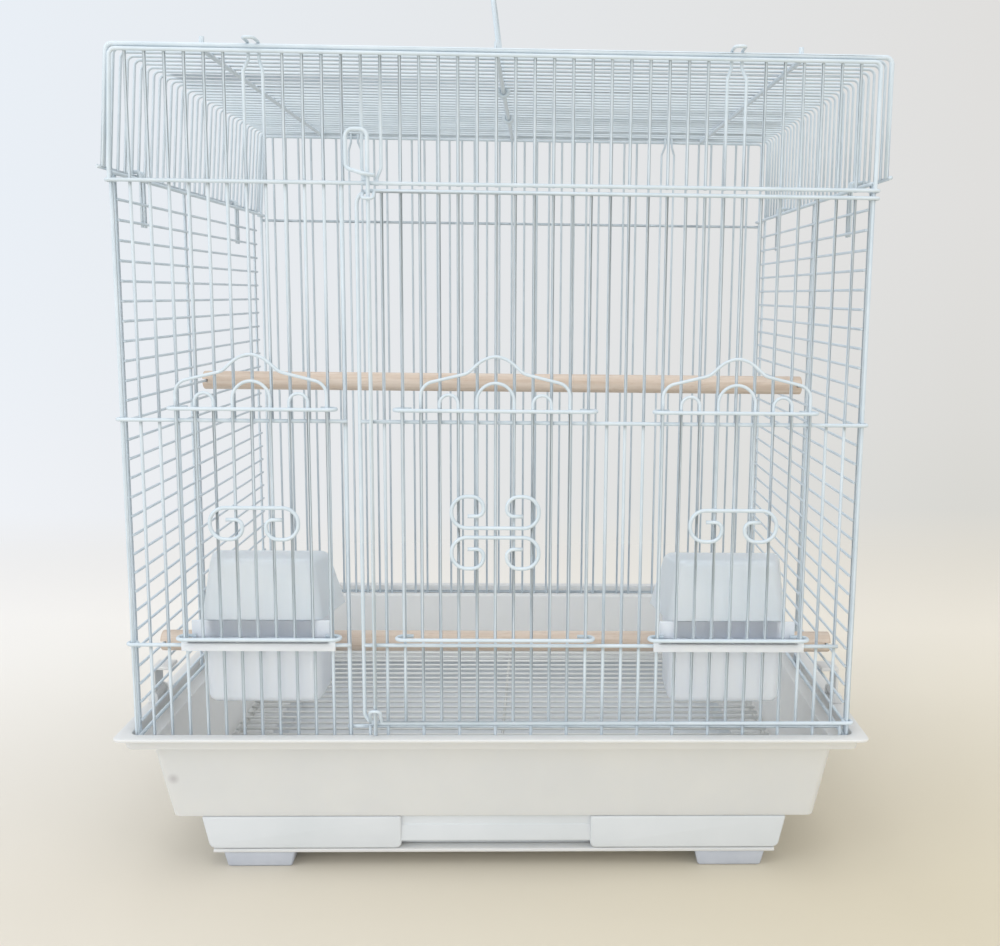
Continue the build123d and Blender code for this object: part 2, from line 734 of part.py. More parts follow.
# Feet: four tapered blocks. The front pair stands under the drawer's lip, close
# to its edge, and the rear pair under the housing.
def make_foot(side_x, side_y):
    foot_x = side_x * (right - foot_inset)
    edge = -front_face - (lower_box_draft if side_y > 0 else 0)
    foot_y = side_y * (edge - 1.0 - foot_length / 2)
    top = Plane.XY.offset(foot_height) * Pos(foot_x, foot_y) * RectangleRounded(foot_width, foot_length, 3)
    bottom = Plane.XY * Pos(foot_x, foot_y) * RectangleRounded(foot_width - 5.4, foot_length - 2, 3)
    return loft([bottom, top], ruled=True)


# Floor grille: close wires across the tray on three rods.
def make_floor_grille():
    radius = upright_radius
    rod_z = shelf_height + rail_radius + 0.1
    wire_z = rod_z + rail_radius + radius - weld_depth
    half_x = cage_width / 2 - wall_inset - wall_thickness - wall_draft - 2.5
    half_y = cage_depth / 2 - wall_inset - wall_thickness - wall_draft - 2.5
    count = round(2 * (half_y - 3) / wire_spacing)
    step = 2 * (half_y - 3) / count
    wires = [rod((x, -half_y, rod_z), (x, half_y, rod_z), rail_radius) for x in (-half_x + 3, 0, half_x - 3)]
    for i in range(count + 1):
        y = -half_y + 3 + i * step
        wires.append(rod((-half_x, y, wire_z), (half_x, y, wire_z), radius))
    return welded(wires)


# Perches: beech dowels with a slot in each end that straddles a level wire.
def make_perch(depth, wire_index):
    wire_x = right - (upright_radius + roof_wire_radius - weld_depth + 0.3)
    half = right + 0.7
    z = side_level(wire_index)
    y = front + depth
    dowel = rod((-half, y, z), (half, y, z), perch_radius)
    slot_half = roof_wire_radius + 0.25
    slot_end = wire_x - roof_wire_radius - 0.25
    for low, high in ((-half - 1, -slot_end), (slot_end, half + 1)):
        dowel = dowel - box_between((low, y - perch_radius - 1, z - slot_half),
                                    (high, y + perch_radius + 1, z + slot_half))
    return dowel


# Seed cups: a tub inside the cage that hangs by a broad lip over the lower rail.
def make_cup(start):
    x_center = (upright_x(start) + upright_x(start + feeder_opening_gaps)) / 2
    opening_half = feeder_opening_gaps * pitch / 2
    guide_clear = opening_half - upright_radius - wire_gap - 0.2
    tub_front = front + upright_radius + 2 * rail_radius + 3 * wire_gap
    tub_back = tub_front + cup_depth
    low = lower_rail_height - cup_bottom_drop
    high = lower_rail_height + cup_top_rise
    middle = (tub_front + tub_back) / 2
    taper = 1.2
    place = Pos(x_center, middle, 0)
    outer = place * tapered_block(2 * cup_half_width, cup_depth, high, high - low, taper, 7)
    hollow = place * tapered_block(2 * cup_half_width - 2 * cup_wall, cup_depth - 2 * cup_wall, high + 0.01,
                                   high - low - cup_wall, taper, 5.4)
    tub = outer - hollow
    shelf_low = lower_rail_height + rail_radius + wire_gap
    plate = box_between((x_center - guide_clear, tub_front, shelf_low),
                        (x_center + guide_clear, tub_front + cup_wall, high))
    lip_back = rail_y - rail_radius - wire_gap
    lip_front = lip_back - cup_wall
    shelf = box_between((x_center - guide_clear, lip_front, shelf_low),
                        (x_center + guide_clear, tub_front + cup_wall, shelf_low + cup_wall))
    lip_half = opening_half + 2.4
    lip = box_between((x_center - lip_half, lip_front, lower_rail_height - 3.2),
                      (x_center + lip_half, lip_back, shelf_low + cup_wall))
    return tub + plate + shelf + lip


# Hoods: a clear cover over each cup, open below and towards the cage.
def make_hood(start):
    x_center = (upright_x(start) + upright_x(start + feeder_opening_gaps)) / 2
    tub_front = front + upright_radius + 2 * rail_radius + 3 * wire_gap
    low = lower_rail_height + cup_top_rise + wire_gap
    high = low + hood_height
    wall = 1.4

    def trapezoid(z, y_front, y_back, half_front, half_back):
        line = Polyline((x_center - half_front, y_front, z), (x_center + half_front, y_front, z),
                        (x_center + half_back, y_back, z), (x_center - half_back, y_back, z),
                        (x_center - half_front, y_front, z))
        return make_face(line)

    shell = loft([trapezoid(low, tub_front, tub_front + 42, 38, 46),
                  trapezoid(high, tub_front + 4, tub_front + 27, 32, 38)], ruled=True)
    shell = fillet(shell.edges().group_by(Axis.Z)[-1], 4.5)
    inside = loft([trapezoid(low - 1, tub_front + wall - 0.1, tub_front + 60, 38 - wall, 49),
                   trapezoid(high - wall, tub_front + 4 + wall, tub_front + 50, 32 - wall - 0.2, 42)],
                  ruled=True)
    inside = fillet(inside.edges().group_by(Axis.Z)[-1], 3.2)
    return shell - inside


# Side clips: levers on the rim that reach over a level wire of each side panel.
clip_pin_radius = 1.2
clip_width = 16.0
clip_wire = 26
ear_thickness = 2.6


def clip_x(outward):
    return outward * (cage_width / 2 + 7.5)


def clip_y():
    return front + 62.0


def clip_z():
    return rim_height + 4.2


def clip_ear(outward, y_side):
    y_near = clip_y() + y_side * (clip_width / 2 + 0.4)
    y_far = y_near + y_side * ear_thickness
    y_low = min(y_near, y_far)
    y_high = max(y_near, y_far)
    x = clip_x(outward)
    block = box_between((x - 3.4, y_low, rim_height - 1), (x + 3.4, y_high, clip_z()))
    cap = rod((x, y_low, clip_z()), (x, y_high, clip_z()), 3.4)
    return block + cap


def make_clip(outward):
    x = clip_x(outward)
    y_low = clip_y() - clip_width / 2
    y_high = clip_y() + clip_width / 2
    z = clip_z()
    barrel = rod((x, y_low, z), (x, y_high, z), 3.0)
    stub = ear_thickness + 0.2
    pin = rod((x, y_low - stub, z), (x, y_high + stub, z), clip_pin_radius)
    tongue_low = side_level(clip_wire) + roof_wire_radius + 2.6
    tongue_high = tongue_low + 2.4
    plate_x = sorted((x - 1.2, x + 1.2))
    plate = box_between((plate_x[0], y_low, z), (plate_x[1], y_high, tongue_high))
    reach = sorted((x, x - outward * 11.5))
    tongue = box_between((reach[0], y_low, tongue_low), (reach[1], y_high, tongue_high))
    return barrel + pin + plate + tongue


write("base_tray", make_base_tray())
for foot_name, sx, sy in (("foot_front_left", -1, -1), ("foot_front_right", 1, -1),
                          ("foot_rear_left", -1, 1), ("foot_rear_right", 1, 1)):
    write(foot_name, make_foot(sx, sy))
write("drawer", make_drawer())
write("floor_grille", make_floor_grille())
write("front_frame", make_front_frame())
write("front_door", make_front_door())
feeder_scroll = [(lower_rail_height + 89.5, -1)]
center_scrolls = [(lower_rail_height + 77.5, 1), (lower_rail_height + 71.5, -1)]
write("left_feeder_door", make_guillotine_door(left_opening, feeder_opening_gaps, feeder_scroll))
write("center_door", make_guillotine_door(center_opening, center_opening_gaps, center_scrolls))
write("right_feeder_door", make_guillotine_door(right_opening, feeder_opening_gaps, feeder_scroll))
write("latch_pin", make_latch_pin())
write("left_side_panel", make_side_panel(left, -1))
write("right_side_panel", make_side_panel(right, 1))
write("back_panel", make_back_panel())
write("roof_panel", make_roof_panel())
write("carry_handle", make_carry_handle())
write("upper_perch", make_perch(upper_perch_depth, upper_perch_wire))
write("lower_perch", make_perch(lower_perch_depth, lower_perch_wire))
write("left_cup", make_cup(left_opening))
write("right_cup", make_cup(right_opening))
write("left_hood", make_hood(left_opening))
write("right_hood", make_hood(right_opening))
write("left_clip", make_clip(-1))
write("right_clip", make_clip(1))
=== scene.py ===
import bpy
import json
import math
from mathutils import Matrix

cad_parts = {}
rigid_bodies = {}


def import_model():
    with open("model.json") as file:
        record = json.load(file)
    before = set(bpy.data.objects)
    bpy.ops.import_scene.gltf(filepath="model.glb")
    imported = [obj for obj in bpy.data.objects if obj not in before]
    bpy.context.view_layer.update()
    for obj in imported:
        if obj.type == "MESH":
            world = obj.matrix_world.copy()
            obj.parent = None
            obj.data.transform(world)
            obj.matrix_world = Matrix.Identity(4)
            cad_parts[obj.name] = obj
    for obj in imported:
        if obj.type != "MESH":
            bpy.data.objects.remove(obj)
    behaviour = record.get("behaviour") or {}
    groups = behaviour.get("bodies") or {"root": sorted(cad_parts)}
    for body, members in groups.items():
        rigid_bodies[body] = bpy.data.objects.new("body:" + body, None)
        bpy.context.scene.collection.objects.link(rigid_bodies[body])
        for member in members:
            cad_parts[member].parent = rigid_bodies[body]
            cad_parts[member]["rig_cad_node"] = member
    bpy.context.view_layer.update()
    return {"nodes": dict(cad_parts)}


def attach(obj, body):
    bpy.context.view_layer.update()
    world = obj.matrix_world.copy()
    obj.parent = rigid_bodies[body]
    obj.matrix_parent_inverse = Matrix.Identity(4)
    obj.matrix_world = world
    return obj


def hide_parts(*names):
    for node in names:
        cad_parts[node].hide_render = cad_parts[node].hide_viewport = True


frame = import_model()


# The room. The cage stands on a cream table top that runs back into a cool white
# wall, with no visible corner between them. Four wide lamps light it evenly, and
# the camera stands a little to the right of the middle, looking slightly down.
def pick_only(piece):
    """Makes a piece the only one that is selected, and the active one."""
    bpy.ops.object.select_all(action="DESELECT")
    piece.select_set(True)
    bpy.context.view_layer.objects.active = piece


def apply_place(piece):
    """Puts a piece's place into its mesh, so that its object sits at the origin."""
    pick_only(piece)
    bpy.ops.object.transform_apply(location=True, rotation=True, scale=True)


def add_node(tree, kind, settings=None, sockets=None):
    """Adds a shader node with its settings and the values of its sockets."""
    made = tree.nodes.new("ShaderNode" + kind)
    for name, value in (settings or {}).items():
        setattr(made, name, value)
    for name, value in (sockets or {}).items():
        made.inputs[name].default_value = value
    return made


def paint_code(red, green, blue):
    """A colour that is written as a paint chart gives it, from 0 to 255."""
    shares = [channel / 255 for channel in (red, green, blue)]
    return [((share + 0.055) / 1.055) ** 2.4 for share in shares] + [1]


def shade_ramp(tree, stops):
    """A colour ramp from pairs of a place, 0 to 1, and a paint code."""
    ramp = add_node(tree, "ValToRGB")
    marks = ramp.color_ramp.elements
    while len(marks) < len(stops):
        marks.new(0.5)
    for mark, (place, colour) in zip(marks, stops):
        mark.position = place
        mark.color = paint_code(*colour)
    return ramp


table_middle_y = -1.7
table_width = 12.0
table_depth = 10.6
wall_height = 3.6
cove_radius = 1.4

bpy.ops.object.select_all(action="DESELECT")
bpy.ops.mesh.primitive_plane_add(size=1, location=(0, table_middle_y, 0))
table = bpy.context.object
table.name = "table_and_wall"
table.scale = (table_width, table_depth, 1)
apply_place(table)
for corner in table.data.vertices:
    corner.select = corner.co.y > table_middle_y
for edge in table.data.edges:
    edge.select = all(table.data.vertices[i].select for i in edge.vertices)
for face in table.data.polygons:
    face.select = False
bpy.ops.object.mode_set(mode="EDIT")
bpy.ops.mesh.select_mode(type="EDGE")
bpy.ops.mesh.extrude_region_move(TRANSFORM_OT_translate={"value": (0, 0, wall_height)})
bpy.ops.object.mode_set(mode="OBJECT")
cove = table.modifiers.new("cove", "BEVEL")
cove.width = cove_radius
cove.segments = 16
cove.limit_method = "ANGLE"
bpy.ops.object.modifier_apply(modifier="cove")
bpy.ops.object.shade_smooth()

# Painted colours, by metres back along the table and on up the wall, with the left side lit and
# the right side in painted shade.
room_start = -0.3
room_length = 5.4
left_side_lit_paint = (
    (-0.2, (216, 210, 199)), (0.4, (238, 236, 233)),
    (1.0, (240, 243, 248)), (4.2, (234, 240, 247)),
)
# Painted shade: the right side's ramp is darker and greyer than the lit left side's.
right_side_painted_shade = (
    (-0.2, (210, 201, 179)), (0.37, (230, 224, 211)),
    (1.1, (217, 216, 211)), (4.2, (224, 223, 221)),
)
room_paint = bpy.data.materials.new("table and wall paint")
room_paint.use_nodes = True
tree = room_paint.node_tree
paint = tree.nodes["Principled BSDF"]
paint.inputs["Roughness"].default_value = 0.85
where = add_node(tree, "TexCoord")
axes = add_node(tree, "SeparateXYZ")
tree.links.new(where.outputs["Object"], axes.inputs["Vector"])
run_back = add_node(tree, "Math", {"operation": "ADD"})
tree.links.new(axes.outputs["Y"], run_back.inputs[0])
tree.links.new(axes.outputs["Z"], run_back.inputs[1])
along = add_node(tree, "MapRange", None, {
    "From Min": room_start, "From Max": room_start + room_length})
tree.links.new(run_back.outputs["Value"], along.inputs["Value"])
sides = []
for shades in (left_side_lit_paint, right_side_painted_shade):
    ramp = shade_ramp(tree, [((y - room_start) / room_length, colour) for y, colour in shades])
    tree.links.new(along.outputs["Result"], ramp.inputs["Fac"])
    sides.append(ramp)

# The view widens with the distance, so the painted shade from the lit left side to the darker
# right side spreads with it.
width_at_cage = 0.95
width_per_metre = 1.0
least_width_seen = 0.6
room_width = add_node(tree, "Math", {"operation": "MULTIPLY_ADD"})
room_width.inputs[1].default_value = width_per_metre
room_width.inputs[2].default_value = width_at_cage
tree.links.new(axes.outputs["Y"], room_width.inputs[0])
least_width = add_node(tree, "Math", {"operation": "MAXIMUM"})
least_width.inputs[1].default_value = least_width_seen
tree.links.new(room_width.outputs["Value"], least_width.inputs[0])
across = add_node(tree, "Math", {"operation": "DIVIDE"})
tree.links.new(axes.outputs["X"], across.inputs[0])
tree.links.new(least_width.outputs["Value"], across.inputs[1])
painted_shade_share = add_node(tree, "MapRange", None, {"From Min": -0.5, "From Max": 0.4})
tree.links.new(across.outputs["Value"], painted_shade_share.inputs["Value"])
room_colour = add_node(tree, "Mix", {"data_type": "RGBA"})
tree.links.new(painted_shade_share.outputs["Result"], room_colour.inputs["Factor"])
tree.links.new(sides[0].outputs["Color"], room_colour.inputs["A"])
tree.links.new(sides[1].outputs["Color"], room_colour.inputs["B"])
tree.links.new(room_colour.outputs["Result"], paint.inputs["Base Color"])


def seen_directly(tree):
    """A value of 1 for what the camera, a gloss or a clear piece shows."""
    rays = add_node(tree, "LightPath")
    glossy = add_node(tree, "Math", {"operation": "MAXIMUM"})
    tree.links.new(rays.outputs["Is Camera Ray"], glossy.inputs[0])
    tree.links.new(rays.outputs["Is Glossy Ray"], glossy.inputs[1])
    clear = add_node(tree, "Math", {"operation": "MAXIMUM"})
    tree.links.new(glossy.outputs["Value"], clear.inputs[0])
    tree.links.new(rays.outputs["Is Transmission Ray"], clear.inputs[1])
    return clear


# Beyond the cage's shadow the paint shows at its own strength, whatever the lamps, so the ramps'
# painted shade from left to right stands in for the light there.
shadow_ends = 0.2
paint_alone = 0.8
wall_glow = add_node(tree, "Emission", None, {"Strength": 1.0})
tree.links.new(room_colour.outputs["Result"], wall_glow.inputs["Color"])
far_off = add_node(tree, "MapRange", {"interpolation_type": "SMOOTHSTEP"}, {
    "From Min": shadow_ends, "From Max": paint_alone})
tree.links.new(run_back.outputs["Value"], far_off.inputs["Value"])
glow_share = add_node(tree, "Math", {"operation": "MULTIPLY"})
tree.links.new(far_off.outputs["Result"], glow_share.inputs[0])
tree.links.new(seen_directly(tree).outputs["Value"], glow_share.inputs[1])
room_mix = add_node(tree, "MixShader")
tree.links.new(glow_share.outputs["Value"], room_mix.inputs["Fac"])
tree.links.new(paint.outputs["BSDF"], room_mix.inputs[1])
tree.links.new(wall_glow.outputs["Emission"], room_mix.inputs[2])
tree.links.new(room_mix.outputs["Shader"], tree.nodes["Material Output"].inputs["Surface"])
table.data.materials.append(room_paint)

world = bpy.data.worlds.new("studio air")
world.use_nodes = True
tree = world.node_tree
air = tree.nodes["Background"]
air.inputs["Color"].default_value = (0.97, 0.98, 1.0, 1)
air.inputs["Strength"].default_value = 0.84
far_wall = add_node(tree, "Background", None, {"Color": (0.80, 0.82, 0.84, 1), "Strength": 1.0})
air_mix = add_node(tree, "MixShader")
tree.links.new(seen_directly(tree).outputs["Value"], air_mix.inputs["Fac"])
tree.links.new(air.outputs["Background"], air_mix.inputs[1])
tree.links.new(far_wall.outputs["Background"], air_mix.inputs[2])
tree.links.new(air_mix.outputs["Shader"], tree.nodes["World Output"].inputs["Surface"])
bpy.context.scene.world = world


def softbox(name, place, aim, size, power, colour):
    """A wide studio lamp that points at a spot."""
    bpy.ops.object.light_add(type="AREA", location=place)
    lamp = bpy.context.object
    lamp.name = name
    lamp.data.shape = "RECTANGLE"
    lamp.data.size = size[0]
    lamp.data.size_y = size[1]
    lamp.data.energy = power
    lamp.data.color = colour
    towards = [aim[i] - place[i] for i in range(3)]
    level = math.hypot(towards[0], towards[1])
    tip = math.atan2(level, -towards[2])
    turn = math.atan2(-towards[0], towards[1])
    lamp.rotation_euler = (tip, 0, turn)


softbox("overhead lamp", place=(-0.2, -0.3, 2.3), aim=(0, 0, 0.2), size=(2.4, 2.0),
        power=17, colour=(1.0, 0.99, 0.97))
softbox("left lamp", place=(-2.0, -1.3, 1.1), aim=(0, 0, 0.25), size=(1.6, 1.6),
        power=14, colour=(0.86, 0.93, 1.0))
softbox("right lamp", place=(2.1, -1.2, 1.0), aim=(0, 0, 0.25), size=(1.4, 1.4),
        power=8, colour=(1.0, 0.97, 0.92))
softbox("front lamp", place=(-0.3, -2.4, 0.5), aim=(0, 0, 0.15), size=(2.6, 0.9),
        power=13, colour=(1.0, 0.99, 0.96))

bpy.ops.object.camera_add(location=(0.02733, -0.84812, 0.38342))
camera = bpy.context.object
camera.rotation_euler = (math.radians(81.800), math.radians(-0.674), math.radians(-1.589))
camera.data.sensor_width = 36
camera.data.lens = 38.96
camera.data.shift_x = -0.0711
camera.data.shift_y = -0.0218
camera.data.clip_start = 0.05
camera.data.clip_end = 50
bpy.context.scene.camera = camera
bpy.context.scene.view_settings.view_transform = "Standard"


# Base tray: one moulding in grey white plastic. A flat flange stands out round a
# rim that takes the wires' feet, and sloping walls run down to the shelf that the
# floor grille lies on. The drawer's housing is moulded in one with it below.
mm = 0.001


def round_corners(radius, segments):
    """Rounds the corners of the flat outline that is being edited."""
    bpy.ops.mesh.select_all(action="SELECT")
    bpy.ops.mesh.bevel(offset=radius, segments=segments, affect="VERTICES")
    bpy.ops.mesh.select_all(action="SELECT")
    bpy.ops.mesh.delete(type="ONLY_FACE")
    bpy.ops.mesh.select_all(action="SELECT")


def step_outline(old, new):
    """Draws the selected outline on to its next half width, half depth and height."""
    rise = (new[2] - old[2]) * mm
    bpy.ops.mesh.extrude_edges_move(TRANSFORM_OT_translate={"value": (0, 0, rise)})
    bpy.ops.transform.resize(
        value=(new[0] / old[0], new[1] / old[1], 1), center_override=(0, 0, 0))


def moulded_shell(name, outlines, radius, segments):
    """A moulding whose wall follows a row of rounded outlines, from first to last."""
    first = outlines[0]
    bpy.ops.object.select_all(action="DESELECT")
    bpy.ops.mesh.primitive_plane_add(size=2, location=(0, 0, 0))
    shell = bpy.context.object
    shell.name = name
    bpy.ops.object.mode_set(mode="EDIT")
    bpy.ops.mesh.select_mode(type="VERT")
    bpy.ops.transform.resize(value=(first[0] * mm, first[1] * mm, 1))
    bpy.ops.transform.translate(value=(0, 0, first[2] * mm))
    round_corners(radius * mm, segments)
    for i in range(1, len(outlines)):
        step_outline(outlines[i - 1], outlines[i])
    bpy.ops.mesh.select_all(action="SELECT")
    bpy.ops.mesh.remove_doubles(threshold=0.00002)
    bpy.ops.mesh.fill_holes(sides=0)
    bpy.ops.mesh.select_all(action="SELECT")
    bpy.ops.mesh.normals_make_consistent(inside=False)
    bpy.ops.object.mode_set(mode="OBJECT")
    return shell


def soften(piece, width, segments=3, angle=25):
    """Rounds a moulding's edges over, as its tool would, and smooths the shading."""
    round_over = piece.modifiers.new("rounded edges", "BEVEL")
    round_over.width = width * mm
    round_over.segments = segments
    round_over.limit_method = "ANGLE"
    round_over.angle_limit = math.radians(angle)
    pick_only(piece)
    bpy.ops.object.modifier_apply(modifier=round_over.name)
    bpy.ops.object.shade_smooth_by_angle(angle=math.radians(40))


def block(name, low, high):
    """A plain block between two corners, in millimetres, still to be shaped."""
    bpy.ops.object.select_all(action="DESELECT")
    middle = [(low[i] + high[i]) / 2 * mm for i in range(3)]
    bpy.ops.mesh.primitive_cube_add(size=1, location=middle)
    piece = bpy.context.object
    piece.name = name
    piece.scale = [(high[i] - low[i]) * mm for i in range(3)]
    apply_place(piece)
    return piece


def pick_faces(piece, wanted):
    """Opens a piece for editing with the faces selected that face a given way."""
    if bpy.context.mode != "OBJECT":
        bpy.ops.object.mode_set(mode="OBJECT")
    pick_only(piece)
    bpy.ops.object.mode_set(mode="EDIT")
    bpy.ops.mesh.select_mode(type="FACE")
    bpy.ops.mesh.select_all(action="DESELECT")
    bpy.ops.object.mode_set(mode="OBJECT")
    for face in piece.data.polygons:
        face.select = wanted(face.normal)
    bpy.ops.object.mode_set(mode="EDIT")


def walls(piece, thickness):
    """Gives an open skin its wall, inwards."""
    wall = piece.modifiers.new("wall", "SOLIDIFY")
    wall.thickness = thickness * mm
    wall.offset = -1
    wall.use_even_offset = True
    bpy.context.view_layer.objects.active = piece
    bpy.ops.object.modifier_apply(modifier=wall.name)


def joined(name, pieces):
    """Several shaped parts as one object."""
    bpy.ops.object.select_all(action="DESELECT")
    for piece in pieces:
        piece.select_set(True)
    bpy.context.view_layer.objects.active = pieces[0]
    bpy.ops.object.join()
    pieces[0].name = name
    return pieces[0]


def stadium(name, x, y_low, y_high, z, radius, drop):
    """A flat lug across the depth, round on top and drawn down at the foot."""
    bpy.ops.object.select_all(action="DESELECT")
    bpy.ops.mesh.primitive_cylinder_add(
        vertices=28, radius=radius * mm, depth=(y_high - y_low) * mm,
        location=(x * mm, (y_low + y_high) / 2 * mm, z * mm),
        rotation=(math.radians(90), 0, 0))
    lug = bpy.context.object
    lug.name = name
    apply_place(lug)
    for corner in lug.data.vertices:
        if corner.co.z < z * mm - 0.00001:
            corner.co.z -= drop * mm
    soften(lug, 0.5, 2)
    return lug


# Half width, half depth and height of each step, from the shelf's inner edge up
# the inside, over the rim and the flange, and down the outside.
tray_outlines = [
    (181.8, 148.6, 39.3), (212.1, 160.35, 39.3), (221.3, 169.55, 95.2),
    (233.2, 181.45, 95.2), (233.2, 181.45, 102.0), (242.0, 190.25, 102.0),
    (242.0, 190.25, 100.0), (237.0, 185.25, 100.0), (236.0, 184.25, 93.0),
    (223.7, 171.95, 93.0), (214.6, 162.85, 37.0), (181.8, 148.6, 37.0),
    (181.8, 148.6, 39.3),
]
tray = moulded_shell("base_tray_shell", tray_outlines, radius=4, segments=6)
soften(tray, 0.7)

tray_half_depth = 162.85
housing_front_y = -148.85
housing_half_width = 194
housing_floor_z = 11
housing_draft = 5
housing_half_depth = (tray_half_depth - housing_front_y) / 2
housing = block(
    "drawer_housing", (-housing_half_width, housing_front_y, housing_floor_z),
    (housing_half_width, tray_half_depth, 37.4))
pick_faces(housing, lambda normal: normal.z < -0.9)
bpy.ops.transform.resize(
    value=((housing_half_width - housing_draft) / housing_half_width,
           (housing_half_depth - housing_draft) / housing_half_depth, 1),
    center_override=(0, 0.007, 0.011))
pick_faces(housing, lambda normal: normal.z > 0.9 or normal.y < -0.9)
bpy.ops.mesh.delete(type="FACE")
bpy.ops.object.mode_set(mode="OBJECT")
walls(housing, 2.5)
soften(housing, 0.9)
front_lip = block(
    "drawer_lip", (-189, -tray_half_depth, housing_floor_z), (189, -141, 13.5))
soften(front_lip, 0.7)

clip_x = 237.5
clip_axis_z = 106.2
clip_ear_thickness = 2.6
tray_parts = [tray, housing, front_lip]
for side in (-1, 1):
    for ear_y in (-127.25, -107.85):
        tray_parts.append(stadium(
            "clip_ear", side * clip_x, ear_y, ear_y + clip_ear_thickness, clip_axis_z,
            radius=3.4, drop=5.0))
tray = joined("base_tray_shell", tray_parts)

mottle = bpy.data.node_groups.new("moulded mottle", "ShaderNodeTree")
for socket, kind, way in (
        ("Place", "NodeSocketVector", "INPUT"), ("Full colour", "NodeSocketColor", "INPUT"),
        ("Thin colour", "NodeSocketColor", "INPUT"), ("Patch scale", "NodeSocketFloat", "INPUT"),
        ("Gloss", "NodeSocketFloat", "INPUT"), ("Dullness", "NodeSocketFloat", "INPUT"),
        ("Colour", "NodeSocketColor", "OUTPUT"), ("Roughness", "NodeSocketFloat", "OUTPUT"),
        ("Grain", "NodeSocketFloat", "OUTPUT")):
    mottle.interface.new_socket(socket, in_out=way, socket_type=kind)
given = mottle.nodes.new("NodeGroupInput")
result = mottle.nodes.new("NodeGroupOutput")
clouds = add_node(mottle, "TexNoise", None, {"Detail": 4.0, "Roughness": 0.55})
mottle.links.new(given.outputs["Place"], clouds.inputs["Vector"])
mottle.links.new(given.outputs["Patch scale"], clouds.inputs["Scale"])
cloud_share = add_node(mottle, "MapRange", None, {"From Min": 0.32, "From Max": 0.68})
mottle.links.new(clouds.outputs["Fac"], cloud_share.inputs["Value"])
body_colour = add_node(mottle, "Mix", {"data_type": "RGBA"})
mottle.links.new(cloud_share.outputs["Result"], body_colour.inputs["Factor"])
mottle.links.new(given.outputs["Full colour"], body_colour.inputs["A"])
mottle.links.new(given.outputs["Thin colour"], body_colour.inputs["B"])
mottle.links.new(body_colour.outputs["Result"], result.inputs["Colour"])
scuffs = add_node(mottle, "TexNoise", None, {"Scale": 120.0, "Detail": 5.0, "Roughness": 0.65})
mottle.links.new(given.outputs["Place"], scuffs.inputs["Vector"])
scuff_share = add_node(mottle, "MapRange", None, {"From Min": 0.35, "From Max": 0.7})
mottle.links.new(scuffs.outputs["Fac"], scuff_share.inputs["Value"])
dulled = add_node(mottle, "Mix", {"data_type": "FLOAT"})
mottle.links.new(scuff_share.outputs["Result"], dulled.inputs["Factor"])
mottle.links.new(given.outputs["Gloss"], dulled.inputs["A"])
mottle.links.new(given.outputs["Dullness"], dulled.inputs["B"])
mottle.links.new(dulled.outputs["Result"], result.inputs["Roughness"])
fine = add_node(mottle, "TexNoise", None, {"Scale": 1100.0, "Detail": 3.0})
mottle.links.new(given.outputs["Place"], fine.inputs["Vector"])
mottle.links.new(fine.outputs["Fac"], result.inputs["Grain"])


def moulded_plastic(name, full, thin, patch_scale, gloss, dullness, grain):
    """A moulded plastic: cloudy colour, scuffed gloss and the tool's fine grain."""
    plastic = bpy.data.materials.new(name)
    plastic.use_nodes = True
    tree = plastic.node_tree
    shader = tree.nodes["Principled BSDF"]
    where = add_node(tree, "TexCoord")
    cloudy = tree.nodes.new("ShaderNodeGroup")
    cloudy.node_tree = mottle
    cloudy.inputs["Full colour"].default_value = paint_code(*full)
    cloudy.inputs["Thin colour"].default_value = paint_code(*thin)
    cloudy.inputs["Patch scale"].default_value = patch_scale
    cloudy.inputs["Gloss"].default_value = gloss
    cloudy.inputs["Dullness"].default_value = dullness
    tree.links.new(where.outputs["Object"], cloudy.inputs["Place"])
    tree.links.new(cloudy.outputs["Colour"], shader.inputs["Base Color"])
    tree.links.new(cloudy.outputs["Roughness"], shader.inputs["Roughness"])
    bump = add_node(tree, "Bump", None, {"Strength": grain, "Distance": 0.00008})
    tree.links.new(cloudy.outputs["Grain"], bump.inputs["Height"])
    tree.links.new(bump.outputs["Normal"], shader.inputs["Normal"])
    return plastic


def finish_piece(piece, material, body, node):
    """Paints a finished piece, hands it to its body and hides the node it stands for."""
    piece.data.materials.clear()
    piece.data.materials.append(material)
    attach(piece, body)
    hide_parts(node)


tray_plastic = moulded_plastic(
    "grey white tray plastic", full=(214, 215, 214), thin=(208, 210, 211), patch_scale=14,
    gloss=0.42, dullness=0.58, grain=0.25)
tree = tray_plastic.node_tree
shader = tree.nodes["Principled BSDF"]
cloud_link = shader.inputs["Base Color"].links[0].from_socket

# A small grey spot where the plastic was let into the mould.
gate_place = (-0.2117, -0.1675, 0.0656)
gate_radius = 0.0045
gate_middle = 0.0008
where = add_node(tree, "TexCoord")
gate_mark = add_node(tree, "VectorMath", {"operation": "DISTANCE"})
gate_mark.inputs[1].default_value = gate_place
tree.links.new(where.outputs["Object"], gate_mark.inputs[0])
mark_share = add_node(tree, "MapRange", None, {
    "From Min": gate_radius, "From Max": gate_middle, "To Max": 0.65})
tree.links.new(gate_mark.outputs["Value"], mark_share.inputs["Value"])
marked = add_node(tree, "Mix", {"data_type": "RGBA"}, {"B": paint_code(168, 166, 170)})
tree.links.new(mark_share.outputs["Result"], marked.inputs["Factor"])
tree.links.new(cloud_link, marked.inputs["A"])
tree.links.new(marked.outputs["Result"], shader.inputs["Base Color"])
shader.inputs["Subsurface Weight"].default_value = 0.3
shader.inputs["Subsurface Radius"].default_value = (1.0, 0.92, 0.8)
shader.inputs["Subsurface Scale"].default_value = 0.012
finish_piece(tray, tray_plastic, "cage", "base_tray")


# Feet: four tapered blocks in a cool grey plastic, pushed on under the housing,
# the front pair flush with the drawer's lip.
def own_copy(piece, name):
    """A copy of a piece with a mesh of its own."""
    pick_only(piece)
    bpy.ops.object.duplicate()
    copy = bpy.context.object
    copy.name = name
    return copy


